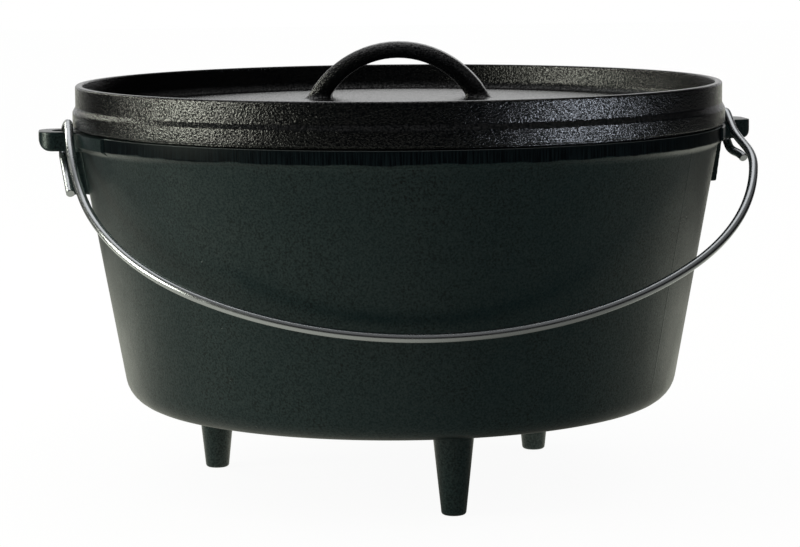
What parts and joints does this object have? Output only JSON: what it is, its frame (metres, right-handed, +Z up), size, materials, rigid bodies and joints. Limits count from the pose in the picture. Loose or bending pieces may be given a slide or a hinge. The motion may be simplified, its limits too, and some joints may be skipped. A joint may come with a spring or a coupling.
{
  "type": "camp dutch oven",
  "caption": "Deep cast iron camp dutch oven: a tapered round pot on short legs, a flat-topped lid with a raised coal rim and a loop handle, and a wire bail hooked into cast lugs.",
  "frame": {"origin": "on the ground plane under the feet, on the axis of the pot", "axes": "+Z up, X through the two lugs, -Y towards the side where the bail hangs"},
  "size_m": [0.3606, 0.3268, 0.2215],
  "materials": {
    "seasoned_iron": "oil-seasoned sand casting, near black, satin on the pot and glossier on the lid",
    "bail_steel": "bright drawn wire"
  },
  "bodies": {
    "pot": {"pot": "seasoned_iron"},
    "lid": {"lid": "seasoned_iron"},
    "bail": {"bail": "bail_steel"}
  },
  "joints": [
    {"name": "bail_swing", "type": "hinge", "parent": "pot", "child": "bail", "pos_m": [0, -0.0096, 0.17525], "axis": [-1, 0, 0], "range_deg": [0, 148]},
    {"name": "lid_lift", "type": "slide", "parent": "pot", "child": "lid", "axis": [0, 0, 1], "range_m": [0, 0.2]}
  ]
}
